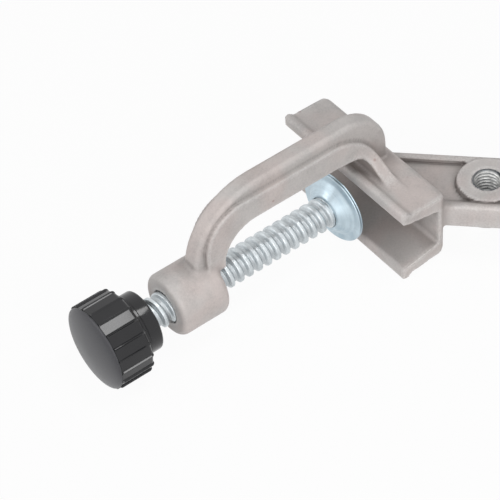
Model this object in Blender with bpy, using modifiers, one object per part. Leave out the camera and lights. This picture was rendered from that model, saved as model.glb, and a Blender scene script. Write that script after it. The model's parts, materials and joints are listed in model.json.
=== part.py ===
"""Corner clamp: one cast frame and two clamping screws that press two boards into a square corner.

The frame has two channel jaws at right angles, joined by a bridge with a threaded centre hole.
From the top of each jaw an arm reaches over the board to a boss that guides the screw.
Each screw carries a knob outside and a swivelling pressure pad inside.

Lengths are in metres. Each side has its own frame: X runs along the screw towards the jaw and is
zero at the jaw's lips, Y runs along the jaw, and Z is up and is zero on the screw's axis.
The whole clamp is then set so that the origin is the centre of its base.
"""

import math

import bmesh
import bpy
from mathutils import Matrix, Vector

CLAMP_NAME = "corner_clamp"

# general fits
GAP = 0.0003
OVERRUN = 0.002
WELD = 0.00001

# where the left screw's axis crosses its jaw's lips, from the centre hole
LIP_X = 0.0493
LIP_Y = 0.0058
SCREW_TURN = math.radians(45)

# jaw channel
JAW_DEPTH = 0.0200
JAW_OUTER_REACH = 0.0342
JAW_INNER_REACH = 0.0317
LIP_HALF_HEIGHT = 0.0160
LIP_LAND = 0.0019
LIP_MOUTH_HALF_HEIGHT = 0.0110
RIDGE_FOOT = 0.0048
FLANGE_FRONT_HALF_HEIGHT = 0.0144
FLANGE_BACK_HALF_HEIGHT = 0.0130
JAW_TOP_BACK_HEIGHT = 0.0140
CHANNEL_BACK_HALF_HEIGHT = 0.0079
WEB_THICKNESS = 0.0040
LIP_ROUND = 0.0006
RIDGE_ROUND = 0.0010
CHANNEL_ROUND = 0.0025
JAW_BACK_ROUND = 0.0040
JAW_TOP_BACK_ROUND = 0.0028
JAW_END_ROUND = 0.0040
JAW_TIP_ROUND = 0.0012

# arm over the board
ARM_TOP = 0.0377
ARM_INNER_HEIGHT = 0.0228
ARM_LEDGE_HEIGHT = 0.0310
RIB_HALF_WIDTH = 0.0034
RIB_ROOT_DEPTH = 0.0022
FLANGE_HALF_WIDTH = 0.0050
ARM_JAW_OUTER_ROUND = 0.0175
ARM_JAW_LEDGE_ROUND = 0.0130
ARM_JAW_INNER_ROUND = 0.0060
ARM_JAW_SET_BACK = 0.0035
ARM_JAW_THICKNESS = 0.0115
ARM_SCREW_OUTER_ROUND = 0.0280
ARM_SCREW_LEDGE_ROUND = 0.0170
ARM_SCREW_INNER_ROUND = 0.0137
ARM_OVER_BOSS = 0.0085
ARM_SCREW_THICKNESS = 0.0121
ARM_ROOT_DEPTH = 0.0040
FLANGE_SET_BACK = 0.0045
ARM_EDGE_ROUND = 0.0010
FLARE_REACH = 0.0190
FLARE_HEIGHT = 0.0130
FLARE_LENGTH = 0.0060

# boss that guides the screw
SCREW_BOSS_RADIUS = 0.0117
SCREW_BOSS_LENGTH = 0.0196
SCREW_BOSS_ROUND = 0.0018
SCREW_BOSS_TO_LIP = 0.0590

# bridge and its centre boss
BRIDGE_TOP = 0.0082
BRIDGE_THICKNESS = 0.0102
BRIDGE_FRONT = 0.0141
BRIDGE_REAR = 0.0118
REAR_RIM_WIDTH = 0.0030
FRONT_RIM_WIDTH = 0.0050
POCKET_DEPTH = 0.0020
POCKET_ROUND = 0.0015
CENTRE_BOSS_RADIUS = 0.0109
CENTRE_BOSS_PROUD = 0.0032
CENTRE_HOLE_RADIUS = 0.0050
CENTRE_HOLE_CHAMFER = 0.0007

# spindle
THREAD_RADIUS = 0.0060
THREAD_DEPTH = 0.0013
THREAD_PITCH = 0.0040
THREAD_RUNOUT = 0.0010
THREAD_INTO_CUP = 0.0004
NECK_RADIUS = 0.0030
NOSE_STEP = 0.0010
GROOVE_WIDTH = 0.0012
GROOVE_DEPTH = 0.0007
TAIL_RADIUS = 0.0040
TAIL_CHAMFER = 0.0006

# pressure pad
PAD_FACE_TO_LIP = 0.0043
PAD_TILT = math.radians(5)
PAD_RADIUS = 0.0141
PAD_SHEET = 0.0007
PAD_HEIGHT = 0.0055
CUP_BASE_RADIUS = 0.0112
CUP_HUB_RADIUS = 0.0076
CUP_HUB_ROUND = 0.0010
RING_OVERLAP = 0.0004

# knob
KNOB_RADIUS = 0.0160
KNOB_FACETS = 20
KNOB_FACET_DEPTH = 0.0006
KNOB_RIDGE_WIDTH = 0.0011
KNOB_GRIP_LENGTH = 0.0130
KNOB_GRIP_ROUND = 0.0012
COLLAR_RADIUS = 0.0112
COLLAR_LENGTH = 0.0070
COLLAR_ROUND = 0.0008
COLLAR_TO_BOSS = 0.0085
RECESS_DEPTH = 0.0085
CAP_HEIGHT = 0.0033
CAP_WALL = 0.0013
CAP_SET_IN = 0.0006
SPIGOT_WALL = 0.0011
SPIGOT_LENGTH = 0.0040
WASHER_RADIUS = 0.0074
WASHER_THICKNESS = 0.0014
NUT_WIDTH = 0.0130
NUT_THICKNESS = 0.0050
NUT_CLEARANCE = 0.0006

# how finely round shapes are drawn
THREAD_SIDES = 16
THREAD_ROWS_PER_PITCH = 4
ROUND_SIDES = 28
BORE_SIDES = 25
SMALL_SIDES = 20
PAD_SIDES = 36
EDGE_STEPS = 4
CORNER_STEPS = 2
BEND_STEPS = 6

# sizes that follow from the sizes above
ARM_JAW_BACK = JAW_DEPTH - ARM_JAW_SET_BACK
ARM_SCREW_FRONT = SCREW_BOSS_TO_LIP + ARM_OVER_BOSS
NUT_CORNER_RADIUS = NUT_WIDTH / 2 / math.cos(math.pi / 6)
RECESS_RADIUS = NUT_CORNER_RADIUS + NUT_CLEARANCE + SPIGOT_WALL + GAP
CAP_RADIUS = KNOB_RADIUS - CAP_SET_IN
NOSE_RADIUS = NECK_RADIUS + NOSE_STEP
CUP_HOLE_RADIUS = THREAD_RADIUS + GAP
RING_RADIUS = CUP_HOLE_RADIUS + RING_OVERLAP

# places along the screw that follow from the sizes above
PAD_FACE_AT = -PAD_FACE_TO_LIP
PAD_PLATE_INSIDE_AT = PAD_FACE_AT - PAD_SHEET
SWIVEL_AT = PAD_PLATE_INSIDE_AT - GAP - NOSE_RADIUS
CUP_BACK_AT = PAD_FACE_AT - PAD_HEIGHT
CUP_INSIDE_AT = CUP_BACK_AT + PAD_SHEET
RING_BACK_AT = CUP_INSIDE_AT + RING_RADIUS * math.tan(PAD_TILT) + GAP
GROOVE_BACK_AT = RING_BACK_AT - GAP
SHOULDER_AT = CUP_BACK_AT + THREAD_INTO_CUP
COLLAR_AT = -SCREW_BOSS_TO_LIP - SCREW_BOSS_LENGTH - COLLAR_TO_BOSS
THREAD_END_AT = COLLAR_AT + GAP
THREAD_LENGTH = SHOULDER_AT - THREAD_END_AT
GRIP_AT = COLLAR_AT - COLLAR_LENGTH
GRIP_FRONT_AT = GRIP_AT - KNOB_GRIP_LENGTH
RECESS_FLOOR_AT = GRIP_FRONT_AT + RECESS_DEPTH
WASHER_AT = RECESS_FLOOR_AT - GAP
NUT_AT = WASHER_AT - WASHER_THICKNESS - GAP
TAIL_END_AT = NUT_AT - NUT_THICKNESS - TAIL_CHAMFER


def clear_scene():
    """Remove whatever is in the scene."""
    for item in list(bpy.data.objects):
        bpy.data.objects.remove(item)


def new_collection(name):
    """Make a collection linked to the scene."""
    made = bpy.data.collections.new(name)
    bpy.context.scene.collection.children.link(made)
    return made


def material(name, colour, roughness, metallic):
    """A plain Principled material."""
    made = bpy.data.materials.new(name)
    made.use_nodes = True
    shader = made.node_tree.nodes["Principled BSDF"]
    shader.inputs["Base Color"].default_value = (*colour, 1.0)
    shader.inputs["Roughness"].default_value = roughness
    shader.inputs["Metallic"].default_value = metallic
    made.diffuse_color = (*colour, 1.0)
    return made


def add_object(name, mesh, collection, place=None, look=None):
    """Put a mesh in the scene at a place."""
    made = bpy.data.objects.new(name, mesh)
    collection.objects.link(made)
    if place is not None:
        made.matrix_world = place
    if look is not None:
        mesh.materials.append(look)
    return made


def mark_as_tool(item):
    """A cutter or a joined shape isn't shown by itself."""
    item.hide_render = True
    item.display_type = "WIRE"


def rounded_outline(corners, steps=CORNER_STEPS):
    """Points of a closed outline whose corners (x, y, radius) are rounded."""
    points = []
    for index, (x, y, radius) in enumerate(corners):
        corner = Vector((x, y))
        before = (Vector(corners[index - 1][:2]) - corner).normalized()
        after = (Vector(corners[(index + 1) % len(corners)][:2]) - corner).normalized()
        if radius == 0:
            points.append(corner)
            continue
        half_angle = before.angle(after) / 2
        reach = radius / math.tan(half_angle)
        centre = corner + (before + after).normalized() * (radius / math.sin(half_angle))
        start = corner + before * reach - centre
        sweep = start.angle_signed(corner + after * reach - centre)
        for step in range(steps + 1):
            turned_by = -sweep * step / steps
            cosine, sine = math.cos(turned_by), math.sin(turned_by)
            across = start.x * cosine - start.y * sine
            up = start.x * sine + start.y * cosine
            points.append(centre + Vector((across, up)))
    return points


def arc(centre, radius, first_degrees, last_degrees, steps=BEND_STEPS):
    """Points on a circular arc."""
    step_degrees = (last_degrees - first_degrees) / steps
    angles = [math.radians(first_degrees + step_degrees * i) for i in range(steps + 1)]
    return [Vector((centre[0] + radius * math.cos(a), centre[1] + radius * math.sin(a))) for a in angles]


def extruded(name, outline, low, high, collection, place, edge_round=0):
    """A flat outline in X and Y, given thickness from low to high along Z and rounded edges."""
    curve = bpy.data.curves.new(name, "CURVE")
    curve.dimensions = "2D"
    curve.fill_mode = "BOTH"
    curve.extrude = (high - low) / 2 - edge_round
    curve.bevel_depth = edge_round
    curve.bevel_resolution = 0
    curve.offset = -edge_round
    spline = curve.splines.new("POLY")
    spline.points.add(len(outline) - 1)
    for point, at in zip(spline.points, outline):
        point.co = (at[0], at[1], 0, 1)
    spline.use_cyclic_u = True
    drawn = bpy.data.objects.new(name, curve)
    collection.objects.link(drawn)
    bpy.context.view_layer.update()
    mesh = bpy.data.meshes.new_from_object(drawn.evaluated_get(bpy.context.evaluated_depsgraph_get()))
    bpy.data.objects.remove(drawn)
    bpy.data.curves.remove(curve)
    work = bmesh.new()
    work.from_mesh(mesh)
    bmesh.ops.remove_doubles(work, verts=work.verts, dist=WELD)
    bmesh.ops.translate(work, verts=work.verts, vec=(0, 0, (high + low) / 2))
    bmesh.ops.recalc_face_normals(work, faces=work.faces)
    work.to_mesh(mesh)
    work.free()
    mesh.name = name
    return add_object(name, mesh, collection, place)


def turned(name, profile, sides, collection, place, look=None):
    """A profile of (radius, place along the axis) turned about local Z.

    The outside runs from the highest place down to the lowest, and a bore comes back up.
    """
    mesh = bpy.data.meshes.new(name)
    points = [(radius, 0, along) for radius, along in profile]
    closed = profile[0][0] > 0
    last = len(points) - 1
    edges = [(i, i + 1) for i in range(last)] + ([(last, 0)] if closed else [])
    mesh.from_pydata(points, edges, [])
    made = add_object(name, mesh, collection, place, look)
    screw = made.modifiers.new("turn", "SCREW")
    screw.axis = "Z"
    screw.angle = math.tau
    screw.steps = sides
    screw.render_steps = sides
    screw.use_merge_vertices = True
    screw.merge_threshold = WELD
    return made


def boolean(target, tool, operation):
    """Join, cut or intersect the target with another solid."""
    step = target.modifiers.new(f"{operation.lower()} {tool.name}", "BOOLEAN")
    step.object = tool
    step.operation = operation
    step.solver = "EXACT"
    mark_as_tool(tool)


def settle(item):
    """Turn an object's modifiers into its mesh, so that it can be smoothed and mirrored."""
    bpy.context.view_layer.update()
    mesh = bpy.data.meshes.new_from_object(item.evaluated_get(bpy.context.evaluated_depsgraph_get()))
    item.modifiers.clear()
    item.data = mesh
    return item


def smooth(item, sharp_degrees=35):
    """Shade a round piece smooth and keep its sharp edges."""
    item.data.shade_smooth()
    item.data.set_sharp_from_angle(angle=math.radians(sharp_degrees))


def side_frame(side):
    """The frame of one screw: side is -1 on the left and 1 on the right."""
    turn = SCREW_TURN if side < 0 else math.pi - SCREW_TURN
    return Matrix.Translation((side * LIP_X, -LIP_Y, 0)) @ Matrix.Rotation(turn, 4, "Z")


# a profile drawn in X and Y stands up in the side's X and Z, and its thickness is along the jaw
PROFILE_STANDS = Matrix.Rotation(math.radians(90), 4, "X")
# a piece turned about Z lies along the screw
AXIS_ALONG_SCREW = Matrix.Rotation(math.radians(90), 4, "Y")
# an outline drawn across the screw: its X is along the jaw and its Y is up
ACROSS_SCREW = Matrix.Rotation(math.radians(90), 4, "Z") @ Matrix.Rotation(math.radians(90), 4, "X")


def jaw_profile():
    """The channel's section: two flared flanges with a raised lip at the mouth, and a web behind."""
    lip = [
        (0, LIP_MOUTH_HALF_HEIGHT, LIP_ROUND),
        (0, LIP_HALF_HEIGHT, LIP_ROUND),
        (LIP_LAND, LIP_HALF_HEIGHT, LIP_ROUND),
        (RIDGE_FOOT, FLANGE_FRONT_HALF_HEIGHT, RIDGE_ROUND),
    ]
    upper = lip + [(JAW_DEPTH, JAW_TOP_BACK_HEIGHT, JAW_TOP_BACK_ROUND)]
    lower = [(JAW_DEPTH, -FLANGE_BACK_HALF_HEIGHT, JAW_BACK_ROUND)]
    lower += [(x, -z, radius) for x, z, radius in reversed(lip)]
    channel_back = JAW_DEPTH - WEB_THICKNESS
    inside = [
        (channel_back, -CHANNEL_BACK_HALF_HEIGHT, CHANNEL_ROUND),
        (channel_back, CHANNEL_BACK_HALF_HEIGHT, CHANNEL_ROUND),
    ]
    return rounded_outline(upper + lower + inside)


def jaw_plan():
    """The jaw seen from above: square ends with rounded corners, rounder at the back."""
    return rounded_outline([
        (0, -JAW_INNER_REACH, JAW_TIP_ROUND),
        (JAW_DEPTH, -JAW_INNER_REACH, JAW_END_ROUND),
        (JAW_DEPTH, JAW_OUTER_REACH, JAW_END_ROUND),
        (0, JAW_OUTER_REACH, JAW_TIP_ROUND),
    ])


def arm_outline(screw_front, screw_round, jaw_back, jaw_round, top, inset):
    """Side view of the arm, from a given outer line to the arm's inner line or an inset above it.

    No bend is rounder than its leg is high.
    """
    root = SCREW_BOSS_RADIUS - ARM_ROOT_DEPTH - inset / 2
    foot = (CHANNEL_BACK_HALF_HEIGHT + FLANGE_BACK_HALF_HEIGHT) / 2 - inset / 2
    inner_front = -ARM_SCREW_FRONT + ARM_SCREW_THICKNESS - inset
    inner_back = ARM_JAW_BACK - ARM_JAW_THICKNESS + inset
    inner_height = ARM_INNER_HEIGHT + inset
    straight = ARM_EDGE_ROUND + GAP
    screw_round = min(screw_round, top - root - straight)
    jaw_round = min(jaw_round, top - foot - straight)
    screw_inner_round = min(ARM_SCREW_INNER_ROUND + inset, inner_height - root - straight)
    jaw_inner_round = min(ARM_JAW_INNER_ROUND + inset, inner_height - foot - straight)
    outer_screw = arc((screw_front + screw_round, top - screw_round), screw_round, 180, 90)
    outer_jaw = arc((jaw_back - jaw_round, top - jaw_round), jaw_round, 90, 0)
    inner_jaw = arc((inner_back - jaw_inner_round, inner_height - jaw_inner_round), jaw_inner_round, 0, 90)
    inner_screw = arc((inner_front + screw_inner_round, inner_height - screw_inner_round),
                      screw_inner_round, 90, 180)
    return ([(screw_front, root)] + outer_screw + outer_jaw + [(jaw_back, foot), (inner_back, foot)]
            + inner_jaw + inner_screw + [(inner_front, root)])


def flare_outline():
    """The arm's foot across the jaw: a concave spread on each side."""
    foot = FLANGE_FRONT_HALF_HEIGHT - OVERRUN
    top = FLANGE_FRONT_HALF_HEIGHT + FLARE_HEIGHT
    spread = FLARE_REACH - FLANGE_HALF_WIDTH + ARM_EDGE_ROUND / 2
    right = []
    for step in range(BEND_STEPS + 1):
        angle = math.radians(90) * step / BEND_STEPS
        right.append((FLARE_REACH - spread * math.sin(angle), top - FLARE_HEIGHT * math.cos(angle)))
    left = [(-x, z) for x, z in reversed(right)]
    return [(FLARE_REACH, foot)] + right + left + [(-FLARE_REACH, foot)]


def bridge_plan(rear, front, web_inset):
    """The bridge seen from above, as far as a line inside the jaws' webs."""
    depth = JAW_DEPTH - web_inset
    cosine, sine = math.cos(SCREW_TURN), math.sin(SCREW_TURN)
    web_x, web_y = -LIP_X + depth * cosine, -LIP_Y + depth * sine
    rear_x = web_x - (rear - web_y)
    front_x = web_x + (web_y + front)
    return [(rear_x, rear), (-rear_x, rear), (-front_x, -front), (front_x, -front)]


def screw_boss_profile():
    """A cylinder with rounded ends, along the screw."""
    inner, outer = -SCREW_BOSS_TO_LIP, -SCREW_BOSS_TO_LIP - SCREW_BOSS_LENGTH
    straight = SCREW_BOSS_RADIUS - SCREW_BOSS_ROUND
    near = arc((straight, inner - SCREW_BOSS_ROUND), SCREW_BOSS_ROUND, 90, 0, CORNER_STEPS)
    far = arc((straight, outer + SCREW_BOSS_ROUND), SCREW_BOSS_ROUND, 0, -90, CORNER_STEPS)
    return [(0, inner)] + [tuple(p) for p in near + far] + [(0, outer)]


def cylinder_profile(radius, low, high):
    """A plain cylinder about local Z."""
    return [(0, high), (radius, high), (radius, low), (0, low)]


def build_frame(parts, tools, look):
    """The casting: both jaws, arms and screw bosses, and the bridge between them."""
    left = side_frame(-1)
    standing = left @ PROFILE_STANDS
    frame = extruded("frame_casting", jaw_profile(), -JAW_OUTER_REACH - OVERRUN, JAW_INNER_REACH + OVERRUN,
                     parts, standing)
    frame.data.materials.append(look)
    ends = extruded("jaw_ends", jaw_plan(), -LIP_HALF_HEIGHT - OVERRUN, LIP_HALF_HEIGHT + OVERRUN,
                    tools, left)

    rib_line = arm_outline(-ARM_SCREW_FRONT, ARM_SCREW_OUTER_ROUND, ARM_JAW_BACK, ARM_JAW_OUTER_ROUND,
                           ARM_TOP, RIB_ROOT_DEPTH)
    rib = extruded("arm_rib", rib_line, -RIB_HALF_WIDTH, RIB_HALF_WIDTH, tools, standing, ARM_EDGE_ROUND)
    flange_line = arm_outline(-ARM_SCREW_FRONT + FLANGE_SET_BACK, ARM_SCREW_LEDGE_ROUND,
                              ARM_JAW_BACK - FLANGE_SET_BACK, ARM_JAW_LEDGE_ROUND, ARM_LEDGE_HEIGHT, 0)
    flange = extruded("arm_flange", flange_line, -FLANGE_HALF_WIDTH, FLANGE_HALF_WIDTH, tools, standing,
                      ARM_EDGE_ROUND)
    flare_start = ARM_JAW_BACK - ARM_JAW_THICKNESS + ARM_EDGE_ROUND / 2
    flare = extruded("arm_foot", flare_outline(), flare_start, flare_start + FLARE_LENGTH,
                     tools, left @ ACROSS_SCREW)
    screw_boss = turned("screw_boss", screw_boss_profile(), ROUND_SIDES, tools, left @ AXIS_ALONG_SCREW)

    bridge_bottom = BRIDGE_TOP - BRIDGE_THICKNESS
    bridge = extruded("bridge_slab", bridge_plan(BRIDGE_REAR, BRIDGE_FRONT, WEB_THICKNESS / 2),
                      bridge_bottom, BRIDGE_TOP, tools, Matrix.Identity(4))
    pocket_outline = rounded_outline([
        (x, y, POCKET_ROUND)
        for x, y in bridge_plan(BRIDGE_REAR - REAR_RIM_WIDTH, BRIDGE_FRONT - FRONT_RIM_WIDTH, 0)
    ])
    upper_pocket = extruded("upper_pockets", pocket_outline, BRIDGE_TOP - POCKET_DEPTH, BRIDGE_TOP + OVERRUN,
                            tools, Matrix.Identity(4))
    lower_pocket = extruded("lower_pockets", pocket_outline, bridge_bottom - OVERRUN,
                            bridge_bottom + POCKET_DEPTH, tools, Matrix.Identity(4))
    centre_boss = turned("centre_boss",
                         cylinder_profile(CENTRE_BOSS_RADIUS, bridge_bottom - CENTRE_BOSS_PROUD, BRIDGE_TOP),
                         ROUND_SIDES, tools, Matrix.Identity(4))
    boolean(bridge, upper_pocket, "DIFFERENCE")
    boolean(bridge, lower_pocket, "DIFFERENCE")
    boolean(bridge, centre_boss, "UNION")

    boolean(frame, ends, "INTERSECT")
    for piece in (screw_boss, flange, rib, flare, bridge):
        boolean(frame, piece, "UNION")
    bore = turned("screw_bore",
                  cylinder_profile(THREAD_RADIUS + GAP, -SCREW_BOSS_TO_LIP - SCREW_BOSS_LENGTH - OVERRUN,
                                   -SCREW_BOSS_TO_LIP + OVERRUN),
                  BORE_SIDES, tools, left @ AXIS_ALONG_SCREW)
    hole_low, hole_high = bridge_bottom - CENTRE_BOSS_PROUD, BRIDGE_TOP
    rim = CENTRE_HOLE_RADIUS + CENTRE_HOLE_CHAMFER
    hole = turned("centre_hole", [
        (0, hole_high + CENTRE_HOLE_CHAMFER),
        (rim + CENTRE_HOLE_CHAMFER, hole_high + CENTRE_HOLE_CHAMFER),
        (CENTRE_HOLE_RADIUS, hole_high - CENTRE_HOLE_CHAMFER),
        (CENTRE_HOLE_RADIUS, hole_low + CENTRE_HOLE_CHAMFER),
        (rim + CENTRE_HOLE_CHAMFER, hole_low - CENTRE_HOLE_CHAMFER),
        (0, hole_low - CENTRE_HOLE_CHAMFER),
    ], SMALL_SIDES, tools, Matrix.Identity(4))
    boolean(frame, bore, "DIFFERENCE")
    boolean(frame, hole, "DIFFERENCE")
    settle(frame)
    frame.data.transform(frame.matrix_world)
    frame.matrix_world = Matrix.Identity(4)
    mirror = frame.modifiers.new("right half", "MIRROR")
    mirror.use_axis = (True, False, False)
    mirror.use_bisect_axis = (True, False, False)
    mirror.use_bisect_flip_axis = (True, False, False)
    mirror.use_clip = True
    mirror.merge_threshold = WELD
    smooth(frame)
    return frame


def thread_radius(along, angle):
    """Radius of the coarse rounded thread at a place along the screw and an angle round it.

    The thread's groove fades out at the pad, and its ridge at the knob.
    """
    turns = along / THREAD_PITCH - angle / math.tau
    wave = math.cos(math.tau * turns)
    flat_share = 0.55
    height = max(-1, min(1, wave / flat_share)) / 2 + 1 / 2
    ridge = height * max(0, min(1, (along - THREAD_END_AT) / THREAD_RUNOUT))
    groove = max(0, min(1, (SHOULDER_AT - along) / THREAD_RUNOUT))
    return THREAD_RADIUS - THREAD_DEPTH * (1 - ridge) * groove


def spindle_rows():
    """(place, radius) from the nose to the tail; radius None means the thread."""
    rows = [(SWIVEL_AT + NOSE_RADIUS, 0)]
    nose_end = math.degrees(math.asin(NECK_RADIUS / NOSE_RADIUS))
    for along, radius in arc((0, 0), NOSE_RADIUS, 0, nose_end, BEND_STEPS)[1:]:
        rows.append((SWIVEL_AT + along, radius))
    groove_front = GROOVE_BACK_AT + GROOVE_WIDTH
    rows += [(groove_front, NECK_RADIUS), (groove_front, NECK_RADIUS - GROOVE_DEPTH),
             (GROOVE_BACK_AT, NECK_RADIUS - GROOVE_DEPTH), (GROOVE_BACK_AT, NECK_RADIUS),
             (SHOULDER_AT, NECK_RADIUS)]
    count = round(THREAD_LENGTH / THREAD_PITCH * THREAD_ROWS_PER_PITCH)
    rows += [(SHOULDER_AT - THREAD_LENGTH * i / count, None) for i in range(count + 1)]
    rows += [(THREAD_END_AT, TAIL_RADIUS), (TAIL_END_AT + TAIL_CHAMFER, TAIL_RADIUS),
             (TAIL_END_AT, TAIL_RADIUS - TAIL_CHAMFER), (TAIL_END_AT, 0)]
    return rows


def spindle_mesh(look):
    """One grid wrapped round the axis: nose, neck, ring groove, coarse thread and tail."""
    rows = spindle_rows()
    work = bmesh.new()
    bmesh.ops.create_grid(work, x_segments=THREAD_SIDES, y_segments=len(rows) - 1, size=1 / 2)
    for vertex in work.verts:
        column = round((vertex.co.x + 1 / 2) * THREAD_SIDES)
        row = round((vertex.co.y + 1 / 2) * (len(rows) - 1))
        along, radius = rows[row]
        angle = math.tau * column / THREAD_SIDES
        if radius is None:
            radius = thread_radius(along, angle)
        vertex.co = (along, radius * math.cos(angle), radius * math.sin(angle))
    bmesh.ops.remove_doubles(work, verts=work.verts, dist=WELD)
    bmesh.ops.recalc_face_normals(work, faces=work.faces)
    mesh = bpy.data.meshes.new("spindle")
    work.to_mesh(mesh)
    work.free()
    mesh.materials.append(look)
    return mesh


def sheet_edge(front):
    """The pad's outer edge where a sheet ends, from its front round to its back."""
    half = PAD_SHEET / 2
    return [tuple(point) for point in arc((PAD_RADIUS - half, front - half), half, 90, -90, EDGE_STEPS)]


def pad_face_profile():
    """The flat plate that bears on the board."""
    return [(0, PAD_FACE_AT)] + sheet_edge(PAD_FACE_AT) + [(0, PAD_PLATE_INSIDE_AT)]


def cup_profile():
    """The pressed cup: a flat rim, a cone and a hub with a hole for the spindle's end."""
    rim_front = PAD_PLATE_INSIDE_AT - GAP
    hub_centre = (CUP_HUB_RADIUS - CUP_HUB_ROUND, CUP_BACK_AT + CUP_HUB_ROUND)
    hub = [tuple(point) for point in arc(hub_centre, CUP_HUB_ROUND, 0, -90, CORNER_STEPS)]
    outside = sheet_edge(rim_front) + [(CUP_BASE_RADIUS, rim_front - PAD_SHEET)] + hub
    inside = [
        (CUP_HOLE_RADIUS, CUP_BACK_AT),
        (CUP_HOLE_RADIUS, CUP_INSIDE_AT),
        (CUP_HUB_RADIUS - PAD_SHEET, CUP_INSIDE_AT),
        (CUP_BASE_RADIUS - PAD_SHEET, rim_front),
    ]
    return outside + inside


def ring_profile():
    """The flat ring in the neck's groove that keeps the cup on the spindle."""
    high = GROOVE_BACK_AT + GROOVE_WIDTH - GAP
    bore = NECK_RADIUS - GROOVE_DEPTH + GAP
    return [(RING_RADIUS, high), (RING_RADIUS, RING_BACK_AT), (bore, RING_BACK_AT), (bore, high)]


def grip_outline():
    """Outline of the knob's grip: flat facets between thin raised ridges."""
    points = []
    half_ridge = KNOB_RIDGE_WIDTH / 2 / KNOB_RADIUS
    half_pitch = math.pi / KNOB_FACETS
    low = KNOB_RADIUS - KNOB_FACET_DEPTH
    for index in range(KNOB_FACETS):
        middle = 2 * half_pitch * index
        for radius, offset in ((low, -half_ridge * 2), (KNOB_RADIUS, -half_ridge),
                               (KNOB_RADIUS, half_ridge), (low, half_ridge * 2)):
            points.append((radius * math.cos(middle + offset), radius * math.sin(middle + offset)))
    return points


def build_knob(name, parts, tools, place, look):
    """The moulded knob: ribbed grip, collar, bore for the spindle's tail and a recess for its nut."""
    grip = extruded(name, grip_outline(), GRIP_FRONT_AT, GRIP_AT, parts, place)
    grip.data.materials.append(look)
    reach = COLLAR_RADIUS - COLLAR_ROUND
    collar_end = arc((reach, COLLAR_AT - COLLAR_ROUND), COLLAR_ROUND, 90, 0, CORNER_STEPS)
    collar_profile = [(0, COLLAR_AT)] + [tuple(p) for p in collar_end]
    collar_profile += [(COLLAR_RADIUS, GRIP_AT - OVERRUN), (0, GRIP_AT - OVERRUN)]
    collar = turned(f"{name}_collar", collar_profile, ROUND_SIDES, tools, place)
    trim = turned(f"{name}_grip_trim", [
        (0, GRIP_AT + OVERRUN),
        (KNOB_RADIUS - KNOB_GRIP_ROUND, GRIP_AT + OVERRUN),
        (KNOB_RADIUS - KNOB_GRIP_ROUND, GRIP_AT),
        (KNOB_RADIUS + GAP, GRIP_AT - KNOB_GRIP_ROUND - GAP),
        (KNOB_RADIUS + GAP, GRIP_FRONT_AT - OVERRUN),
        (0, GRIP_FRONT_AT - OVERRUN),
    ], ROUND_SIDES, tools, place)
    bore = turned(f"{name}_bore", cylinder_profile(TAIL_RADIUS + GAP, GRIP_FRONT_AT, COLLAR_AT + OVERRUN),
                  SMALL_SIDES, tools, place)
    recess = turned(f"{name}_recess",
                    cylinder_profile(RECESS_RADIUS, GRIP_FRONT_AT - OVERRUN, RECESS_FLOOR_AT),
                    SMALL_SIDES, tools, place)
    boolean(grip, trim, "INTERSECT")
    boolean(grip, collar, "UNION")
    boolean(grip, bore, "DIFFERENCE")
    boolean(grip, recess, "DIFFERENCE")
    smooth(grip)
    return grip


def cap_profile():
    """The cap, a dome flatter than a ball, with the ring that presses into the knob's recess."""
    seat = GRIP_FRONT_AT - GAP
    spigot = RECESS_RADIUS - GAP
    spigot_inner = spigot - SPIGOT_WALL
    spigot_end = seat + SPIGOT_LENGTH
    dome_power = 1.7
    outer = []
    for step in range(1, BEND_STEPS + 1):
        turn = math.radians(90) * step / BEND_STEPS
        radius_share = math.cos(turn) ** (2 / dome_power)
        outer.append((CAP_RADIUS * radius_share, seat - CAP_HEIGHT * math.sin(turn) ** (2 / dome_power)))
    outer[-1] = (0, seat - CAP_HEIGHT)
    hollow = CAP_HEIGHT - CAP_WALL
    at_spigot = (1 - (spigot_inner / CAP_RADIUS) ** dome_power) ** (1 / dome_power)
    return [
        (0, seat - hollow),
        (spigot_inner, seat - hollow * at_spigot),
        (spigot_inner, spigot_end),
        (spigot, spigot_end),
        (spigot, seat),
        (CAP_RADIUS, seat),
    ] + outer


def nut_outline():
    """A regular hexagon."""
    angles = [math.pi / 3 * i for i in range(6)]
    return [(NUT_CORNER_RADIUS * math.cos(a), NUT_CORNER_RADIUS * math.sin(a)) for a in angles]


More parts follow.
